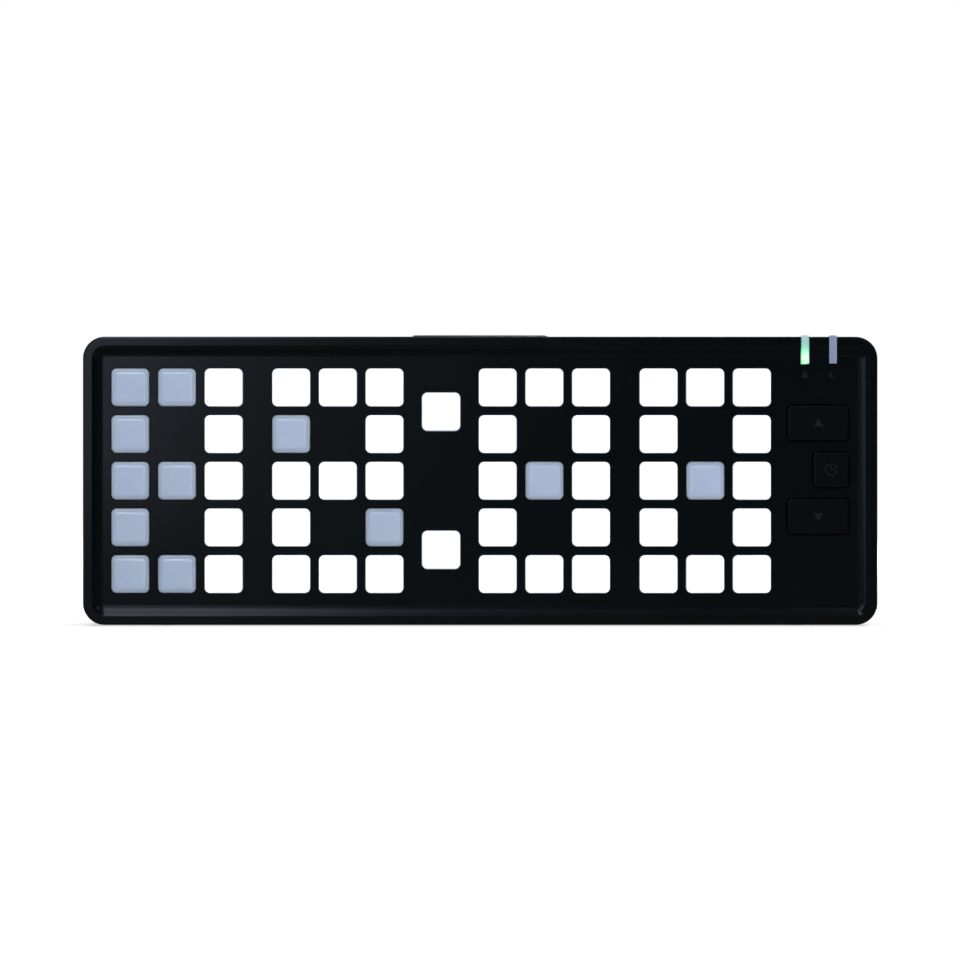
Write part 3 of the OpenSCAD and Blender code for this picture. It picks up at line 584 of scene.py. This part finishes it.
def moved(points, x, z, scale=1.0, turn=0.0):
    """Points scaled, turned by degrees and then shifted."""
    c, s = math.cos(math.radians(turn)), math.sin(math.radians(turn))
    return [(x + scale * (c * px - s * pz), z + scale * (s * px + c * pz)) for px, pz in points]


def in_mm(*points):
    return [(x * MM, z * MM) for x, z in points]


def bar(x0, z0, x1, z1):
    """A rectangle between two corners given in millimetres."""
    return in_mm((x0, z0), (x1, z0), (x1, z1), (x0, z1))


def rounded_polygon(points, r, steps=4):
    """A polygon with each corner replaced by a curve that starts r before it."""
    result = []
    count = len(points)
    for i in range(count):
        corner = Vector(points[i])
        a = corner + (Vector(points[i - 1]) - corner).normalized() * r
        b = corner + (Vector(points[(i + 1) % count]) - corner).normalized() * r
        for k in range(steps + 1):
            t = k / steps
            result.append(tuple((1 - t) ** 2 * a + 2 * t * (1 - t) * corner + t * t * b))
    return result


def disc(r, steps=32):
    angles = [2 * math.pi * i / steps for i in range(steps)]
    return [(r * math.cos(a), r * math.sin(a)) for a in angles]


def ring(r0, r1, steps):
    """A band between two radii as one outline, just short of a full turn."""
    angles = [math.radians(359.9 * i / steps) for i in range(steps + 1)]
    outer = [(r1 * math.cos(a), r1 * math.sin(a)) for a in angles]
    return outer + [(r0 * math.cos(a), r0 * math.sin(a)) for a in reversed(angles)]


def crescent(r, bite, shift, steps=28):
    """The disc of radius r without the disc of radius bite that lies shift beside it."""
    half = math.acos((r * r + shift * shift - bite * bite) / (2 * r * shift))
    outer = [half + (2 * math.pi - 2 * half) * i / steps for i in range(steps + 1)]
    points = [(r * math.cos(a), r * math.sin(a)) for a in outer]
    inner_half = math.atan2(r * math.sin(half), r * math.cos(half) - shift)
    inner = [-inner_half - (2 * math.pi - 2 * inner_half) * i / steps for i in range(1, steps)]
    return points + [(shift + bite * math.cos(a), bite * math.sin(a)) for a in inner]


# ---------------------------------------------------------------- key caps


def key_pieces(node, lit_cells, unlit_cells):
    """Replaces one key sheet by its lit caps and its unlit caps, which keep the sheet."""
    lo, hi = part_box(node)
    x, z = centre(node)
    sheet_y = hi.y - SHEET_T
    for cells, material, ending, slot in (
        (lit_cells, lit_mat, "lit", "key_lit"),
        (unlit_cells, unlit_mat, "unlit", "key"),
    ):
        if not cells:
            continue
        bm = bmesh.new()
        edge_layer = bm.verts.layers.float.new("edge")
        for cx, cz in cells:
            add_cap(bm, edge_layer, x + cx, z + cz, lo.y, sheet_y)
        if ending == "unlit" or not unlit_cells:
            outline = rounded_outline(hi.x - lo.x, hi.z - lo.z, SHEET_CORNER, SHEET_CORNER_STEPS)
            add_plate(bm, moved(outline, x, z), sheet_y, hi.y, edge_layer)
        obj = piece(node.replace("_keys", "_" + ending), bm, material, "housing")
        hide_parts(node)


for node, rows in DIGIT_KEYS.items():
    lit, unlit = [], []
    for row, signs in enumerate(rows):
        for column, sign in enumerate(signs):
            cell = ((column - MIDDLE_COLUMN) * KEY_PITCH, (MIDDLE_ROW - row) * KEY_PITCH)
            if sign == LIT:
                lit.append(cell)
            elif sign == UNLIT:
                unlit.append(cell)
    key_pieces(node, lit, unlit)
key_pieces("colon_keys", [(0.0, COLON_RISE), (0.0, -COLON_RISE)], [])


# ---------------------------------------------------------------- prints

INK_T = 0.03 * MM

TRIANGLE = rounded_polygon(in_mm((-1.35, -0.85), (1.35, -0.85), (0, 1.25)), 0.3 * MM)
BELL = rounded_polygon(
    in_mm(
        (-0.95, -0.62), (0.95, -0.62), (0.62, -0.2), (0.52, 0.55),
        (0.18, 0.92), (-0.18, 0.92), (-0.52, 0.55), (-0.62, -0.2),
    ),
    0.14 * MM,
)
CLAPPER = moved(disc(0.17 * MM, 16), 0, -0.84 * MM)
CRESCENT = crescent(0.95 * MM, 0.8 * MM, 0.5 * MM)
CLOCK_FACE = ring(1.25 * MM, 1.55 * MM, 48)
MINUTE_HAND = bar(-0.14, -0.14, 0.14, 0.95)
HOUR_HAND = bar(0.14, -0.14, 0.75, 0.14)
CURRENT_BAR = bar(-1.6, 0.25, 1.6, 0.6)
CURRENT_DASH = bar(-0.4, -0.55, 0.4, -0.2)
OFF_DOT = disc(0.45 * MM)
CLOSED_DOT = disc(0.75 * MM)
OPEN_RING = ring(0.5 * MM, 0.8 * MM, 32)

# Places of the signs, from the middle of the part that each belongs to.
ICON_Z = MID_Z + 26.7 * MM
CRESCENT_TURN = 30
CURRENT_RISE = 5 * MM
DASH_PITCH = 1.2 * MM
SWITCH_SIGN_RISE = 5.4 * MM
ON_BELL_SHIFT = 3.6 * MM
ON_BELL_SCALE = 1.15
OFF_DOT_SHIFT = -0.6 * MM
DOOR_MARK_R = 16.2 * MM
DOOR_TURN = 40
DOOR_ARROW_R = 10.2 * MM
DOOR_ARROW_SCALE = 0.7


def print_piece(name, outlines, y, material, body):
    """Ink that stands INK_T proud of a surface facing away from the casing's middle."""
    bm = bmesh.new()
    out = y + math.copysign(INK_T, y)
    for outline in outlines:
        add_plate(bm, outline, y, out)
    piece(name, bm, material, body, smooth=False)


for node, body, shapes in (
    ("up_button", "up", [TRIANGLE]),
    ("down_button", "down", [moved(TRIANGLE, 0, 0, turn=180)]),
    ("set_button", "set", [CLOCK_FACE, MINUTE_HAND, HOUR_HAND]),
):
    x, z = centre(node)
    outlines = [moved(shape, x, z) for shape in shapes]
    print_piece(body + "_print", outlines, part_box(node)[0].y, ink_mat, body)

alarm_x, pm_x = centre("alarm_light_pipe")[0], centre("pm_light_pipe")[0]
print_piece(
    "panel_print",
    [
        moved(BELL, alarm_x, ICON_Z),
        moved(CLAPPER, alarm_x, ICON_Z),
        moved(CRESCENT, pm_x, ICON_Z, turn=CRESCENT_TURN),
    ],
    PANEL_Y, ink_mat, "housing",
)

# Rear prints: direct current at the inlet, a bell at the switch's on end, marks at the coin door.
inlet_x, inlet_z = centre("usb_socket")
slider_x, slider_z = centre("alarm_slider")
door_x, door_z = centre("coin_door")
current_z = inlet_z + CURRENT_RISE
switch_sign_z = slider_z + SWITCH_SIGN_RISE
print_piece(
    "rear_print",
    [
        moved(CURRENT_BAR, inlet_x, current_z),
        *(moved(CURRENT_DASH, inlet_x + k * DASH_PITCH, current_z) for k in (-1, 0, 1)),
        moved(BELL, slider_x + ON_BELL_SHIFT, switch_sign_z, ON_BELL_SCALE),
        moved(CLAPPER, slider_x + ON_BELL_SHIFT, switch_sign_z, ON_BELL_SCALE),
        moved(OFF_DOT, slider_x + OFF_DOT_SHIFT, switch_sign_z),
        moved(CLOSED_DOT, door_x, door_z + DOOR_MARK_R),
        moved(moved(OPEN_RING, 0, DOOR_MARK_R), door_x, door_z, turn=-DOOR_TURN),
    ],
    REAR_Y, rear_ink_mat, "housing",
)
print_piece(
    "door_print",
    [moved(moved(TRIANGLE, 0, DOOR_ARROW_R, DOOR_ARROW_SCALE), door_x, door_z)],
    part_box("coin_door")[1].y, rear_ink_mat, "door",
)


# ---------------------------------------------------------------- screws and inlet contacts

HEAD_R = 2.0 * MM
HEAD_T = 1.5 * MM
HEAD_SIDE = 0.35 * MM
HEAD_DOME_W = 0.9 * MM
HEAD_DOME_STEPS = 8
TIP_R = 0.35 * MM
TIP_INSET = 0.15 * MM
THREAD_R = 1.1 * MM
THREAD_ROOT_R = 0.8 * MM
THREAD_PITCH = 0.8 * MM
THREAD_START = 0.9 * MM
NECK_R = 0.85 * MM
SCREW_STEPS = 40
RECESS_ARM = 1.05 * MM
RECESS_HALF = 0.26 * MM
RECESS_DEPTH = 0.85 * MM
RECESS_FLOOR_SCALE = 0.55
RECESS_CLEAR = 0.3 * MM
RECESS_TURNS = (23.0, -31.0)
SHARP_ANGLE = math.radians(40)


def screw_profile(tip_y, top_y):
    """Radius and depth from a screw's tip to the top of its head."""
    seat_y = top_y - HEAD_T
    profile = [(TIP_R, tip_y + TIP_INSET)]
    y = tip_y + THREAD_START
    while y < seat_y - THREAD_PITCH:
        profile.append((THREAD_ROOT_R, y))
        profile.append((THREAD_R, y + THREAD_PITCH * 0.45))
        profile.append((THREAD_R, y + THREAD_PITCH * 0.55))
        y += THREAD_PITCH
    side_y = seat_y + HEAD_SIDE
    profile += [(NECK_R, seat_y), (HEAD_R, seat_y), (HEAD_R, side_y)]
    for i in range(1, HEAD_DOME_STEPS + 1):
        a = math.radians(90 * i / HEAD_DOME_STEPS)
        r = HEAD_R - HEAD_DOME_W * (1 - math.cos(a))
        profile.append((r, side_y + (HEAD_T - HEAD_SIDE) * math.sin(a)))
    return profile


def cut_away(obj, cut):
    """Takes the solid in the bmesh cut out of an object."""
    bmesh.ops.recalc_face_normals(cut, faces=cut.faces)
    cutter_mesh = bpy.data.meshes.new("recess_cutter")
    cut.to_mesh(cutter_mesh)
    cut.free()
    cutter = bpy.data.objects.new("recess_cutter", cutter_mesh)
    bpy.context.scene.collection.objects.link(cutter)
    boolean = obj.modifiers.new("recess", "BOOLEAN")
    boolean.operation = "DIFFERENCE"
    boolean.solver = "EXACT"
    boolean.object = cutter
    depsgraph = bpy.context.evaluated_depsgraph_get()
    cut_mesh = bpy.data.meshes.new_from_object(obj.evaluated_get(depsgraph))
    obj.modifiers.clear()
    obj.data = cut_mesh
    cut_mesh.set_sharp_from_angle(angle=SHARP_ANGLE)
    bpy.data.objects.remove(cutter)


def casing_screw_pieces():
    """Pan-head screws with a cross recess, in place of the plain ones."""
    lo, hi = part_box("casing_screws")
    places = [
        (x, z) for x in (lo.x + HEAD_R, hi.x - HEAD_R) for z in (lo.z + HEAD_R, hi.z - HEAD_R)
    ]
    bm = bmesh.new()
    for x, z in places:
        rings = []
        for r, y in screw_profile(lo.y, hi.y):
            outline = moved(disc(r, SCREW_STEPS), x, z)
            rings.append([bm.verts.new((px, y, pz)) for px, pz in outline])
        loft(bm, rings)
    heads = piece("casing_screw_set", bm, screw_mat, "housing")
    arm, half = RECESS_ARM, RECESS_HALF
    cross = [
        (half, half), (half, arm), (-half, arm), (-half, half), (-arm, half), (-arm, -half),
        (-half, -half), (-half, -arm), (half, -arm), (half, -half), (arm, -half), (arm, half),
    ]
    cut = bmesh.new()
    for x, z in places:
        turn = RECESS_TURNS[0] if x * (z - MID_Z) > 0 else RECESS_TURNS[1]
        loops = []
        for y, scale in ((hi.y - RECESS_DEPTH, RECESS_FLOOR_SCALE), (hi.y + RECESS_CLEAR, 1.0)):
            outline = moved(cross, x, z, scale, turn)
            loops.append([cut.verts.new((px, y, pz)) for px, pz in outline])
        loft(cut, loops)
    cut_away(heads, cut)
    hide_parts("casing_screws")


casing_screw_pieces()

CONTACTS = 12
CONTACT_PITCH = 0.5 * MM
CONTACT_W = 0.26 * MM
CONTACT_L = 4.0 * MM
CONTACT_T = 0.03 * MM
CONTACT_CORNER = 0.08 * MM
CONTACT_CORNER_STEPS = 3
CONTACT_INSET = 2.4 * MM


def inlet_contact_pieces():
    """Twelve gold strips on each face of the inlet's tongue."""
    lo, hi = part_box("usb_tongue")
    middle_x = (lo.x + hi.x) / 2
    y = hi.y - CONTACT_INSET
    strip = rounded_outline(CONTACT_W, CONTACT_L, CONTACT_CORNER, CONTACT_CORNER_STEPS)
    bm = bmesh.new()
    for k in range(CONTACTS):
        x = middle_x + (k - (CONTACTS - 1) / 2) * CONTACT_PITCH
        for z, away in ((lo.z, -1), (hi.z, 1)):
            loops = [
                [bm.verts.new((x + sx, y + sy, z + away * rise)) for sx, sy in strip]
                for rise in (0.0, CONTACT_T)
            ]
            loft(bm, loops)
    piece("inlet_contacts", bm, gold_mat, "housing", smooth=False)


inlet_contact_pieces()


# ---------------------------------------------------------------- stage, lights and camera

FLOOR_HALF = 3
GLOW_FROM, GLOW_TO = 0.3, 0.9
TARGET = (0, RIM_Y, MID_Z)
COOL = (0.9, 1.0, 1.2)
CARD_Y = -0.42
ROOM_CARD_Y = -1.5
CAMERA_DISTANCE = 1.05


def math_node(nodes, links, operation, *inputs):
    """A Math node fed by sockets or fixed numbers."""
    node = nodes.new("ShaderNodeMath")
    node.operation = operation
    for socket, value in zip(node.inputs, inputs):
        if isinstance(value, bpy.types.NodeSocket):
            links.new(value, socket)
        else:
            socket.default_value = value
    return node.outputs[0]


def behind_masks(nodes, links, y_socket, low, high):
    """Two masks: what shows white, and what gloss sees in front, where the studio is dim."""
    path = nodes.new("ShaderNodeLightPath").outputs
    behind = nodes.new("ShaderNodeMapRange")
    behind.inputs["From Min"].default_value = low
    behind.inputs["From Max"].default_value = high
    links.new(y_socket, behind.inputs["Value"])
    back = behind.outputs["Result"]
    gloss = math_node(
        nodes, links, "MAXIMUM", path["Is Glossy Ray"], path["Is Transmission Ray"]
    )
    gloss_back = math_node(nodes, links, "MULTIPLY", gloss, back)
    white = math_node(nodes, links, "MAXIMUM", gloss_back, path["Is Camera Ray"])
    return white, math_node(nodes, links, "SUBTRACT", gloss, gloss_back)


def stage_material(name, shade, front_gloss, near_glow, far_glow):
    """Pale diffuse stage, white to the camera and more so far away, with shadows near by."""
    mat = bpy.data.materials.new(name)
    mat.use_nodes = True
    nodes, links = mat.node_tree.nodes, mat.node_tree.links
    nodes.clear()
    output = nodes.new("ShaderNodeOutputMaterial")
    total = nodes.new("ShaderNodeAddShader")
    diffuse = nodes.new("ShaderNodeBsdfDiffuse")
    emission = nodes.new("ShaderNodeEmission")
    place = nodes.new("ShaderNodeNewGeometry").outputs["Position"]
    split = nodes.new("ShaderNodeSeparateXYZ")
    distance = nodes.new("ShaderNodeVectorMath")
    distance.operation = "LENGTH"
    glow = nodes.new("ShaderNodeMapRange")
    glow.inputs["From Min"].default_value = GLOW_FROM
    glow.inputs["From Max"].default_value = GLOW_TO
    glow.inputs["To Min"].default_value = near_glow
    glow.inputs["To Max"].default_value = far_glow
    tone = nodes.new("ShaderNodeMapRange")
    tone.inputs["To Min"].default_value = shade
    tone.inputs["To Max"].default_value = shade * front_gloss
    links.new(place, distance.inputs[0])
    links.new(place, split.inputs["Vector"])
    links.new(distance.outputs["Value"], glow.inputs["Value"])
    white, front = behind_masks(nodes, links, split.outputs["Y"], -0.1, 0.2)
    strength = math_node(nodes, links, "MULTIPLY", white, glow.outputs["Result"])
    links.new(front, tone.inputs["Value"])
    links.new(tone.outputs["Result"], diffuse.inputs["Color"])
    links.new(strength, emission.inputs["Strength"])
    links.new(diffuse.outputs[0], total.inputs[0])
    links.new(emission.outputs[0], total.inputs[1])
    links.new(total.outputs[0], output.inputs["Surface"])
    return mat


def stage_plane(name, corners, material):
    mesh = bpy.data.meshes.new(name)
    mesh.from_pydata(corners, [], [(0, 1, 2, 3)])
    mesh.materials.append(material)
    obj = bpy.data.objects.new(name, mesh)
    bpy.context.scene.collection.objects.link(obj)


stage_plane(
    "floor",
    [(x * FLOOR_HALF, y * FLOOR_HALF, 0) for x, y in ((-1, -1), (1, -1), (1, 1), (-1, 1))],
    stage_material("floor_white", shade=0.5, front_gloss=0.3, near_glow=0.6, far_glow=1.0),
)

world = bpy.data.worlds.new("studio")
bpy.context.scene.world = world
world.use_nodes = True
world_nodes, world_links = world.node_tree.nodes, world.node_tree.links
world_nodes.clear()
world_out = world_nodes.new("ShaderNodeOutputWorld")
surround = world_nodes.new("ShaderNodeBackground")
surround.inputs["Color"].default_value = (0.026, 0.032, 0.041, 1)
white = world_nodes.new("ShaderNodeBackground")
white.inputs["Color"].default_value = (1, 1, 1, 1)
world_mix = world_nodes.new("ShaderNodeMixShader")
world_coords = world_nodes.new("ShaderNodeTexCoord")
world_split = world_nodes.new("ShaderNodeSeparateXYZ")
world_links.new(world_coords.outputs["Generated"], world_split.inputs["Vector"])
world_white, _ = behind_masks(world_nodes, world_links, world_split.outputs["Y"], -0.1, 0.35)
world_links.new(world_white, world_mix.inputs["Fac"])
world_links.new(surround.outputs[0], world_mix.inputs[1])
world_links.new(white.outputs[0], world_mix.inputs[2])
world_links.new(world_mix.outputs[0], world_out.inputs["Surface"])


def area_light(name, place, target, size, radiance, tint=(1, 1, 1), gloss=True, diffuse=True):
    """A rectangular softbox of one brightness, where 1 is white, that the camera doesn't see."""
    data = bpy.data.lights.new(name, "AREA")
    data.shape = "RECTANGLE"
    data.size, data.size_y = size
    data.energy = radiance * math.pi * size[0] * size[1]
    data.color = tint
    obj = bpy.data.objects.new(name, data)
    obj.visible_camera = False
    obj.visible_diffuse = diffuse
    obj.visible_glossy = gloss
    obj.location = place
    aim = Vector(target) - Vector(place)
    obj.rotation_mode = "QUATERNION"
    obj.rotation_quaternion = aim.to_track_quat("-Z", "Y")
    bpy.context.scene.collection.objects.link(obj)


def soft_light(name, place, target, size, radiance):
    """A white softbox that lights matte surfaces and isn't mirrored."""
    area_light(name, place, target, size, radiance, gloss=False)


def cool_card(name, place, target, size, radiance):
    """A cool card that is seen only in reflections."""
    area_light(name, place, target, size, radiance, COOL, diffuse=False)


def front_card(name, x_range, y, z_range, radiance):
    """A cool upright card that faces the clock's front."""
    x, z = sum(x_range) / 2, sum(z_range) / 2
    size = (x_range[1] - x_range[0], z_range[1] - z_range[0])
    cool_card(name, (x, y, z), (x, 0, z), size, radiance)


soft_light("top_softbox", (-0.3, -0.45, 1.0), (-0.3, -0.45, 0.0), (0.6, 2.1), 2.6)
cool_card("top_card", (-0.21, -0.45, 0.9), (-0.21, -0.45, 0.0), (0.22, 2.1), 6.0)
front_card("foot_card", (-0.45, -0.25), CARD_Y, (0.0, 0.03), 3.0)
front_card("low_card", (-0.45, -0.105), CARD_Y, (0.03, 0.12), 1.8)
front_card("mid_card", (-0.23, -0.08), CARD_Y, (0.12, 0.185), 3.6)
front_card("high_card", (-0.21, -0.075), CARD_Y, (0.185, 0.29), 5.4)
front_card("room_card", (-0.72, -0.02), ROOM_CARD_Y, (-0.1, 0.8), 0.6)
cool_card("right_card", (0.33, -0.4, 0.9), (0.33, -0.4, 0.0), (0.36, 1.4), 0.35)
soft_light("right_softbox", (0.45, -0.55, 0.5), TARGET, (0.4, 0.4), 7.0)
cool_card("spark_card", (0.23, -0.5, 0.25), TARGET, (0.14, 0.14), 3.0)
soft_light("fill_softbox", (0.1, -1.0, 0.2), TARGET, (0.6, 0.36), 7.0)
area_light("rear_softbox", (0.4, 1.1, 0.7), (0, REAR_Y, MID_Z), (0.8, 0.6), 8.5)

camera_data = bpy.data.cameras.new("camera")
camera_data.sensor_width = 36.0
camera_data.lens = 156.5
camera_data.clip_start, camera_data.clip_end = 0.01, 20.0
camera = bpy.data.objects.new("camera", camera_data)
camera.location = (-0.05 * MM, RIM_Y - CAMERA_DISTANCE, MID_Z + 0.2 * MM)
camera.rotation_euler = (math.radians(90), 0, 0)
bpy.context.scene.collection.objects.link(camera)
bpy.context.scene.camera = camera
bpy.context.scene.view_settings.view_transform = "Standard"
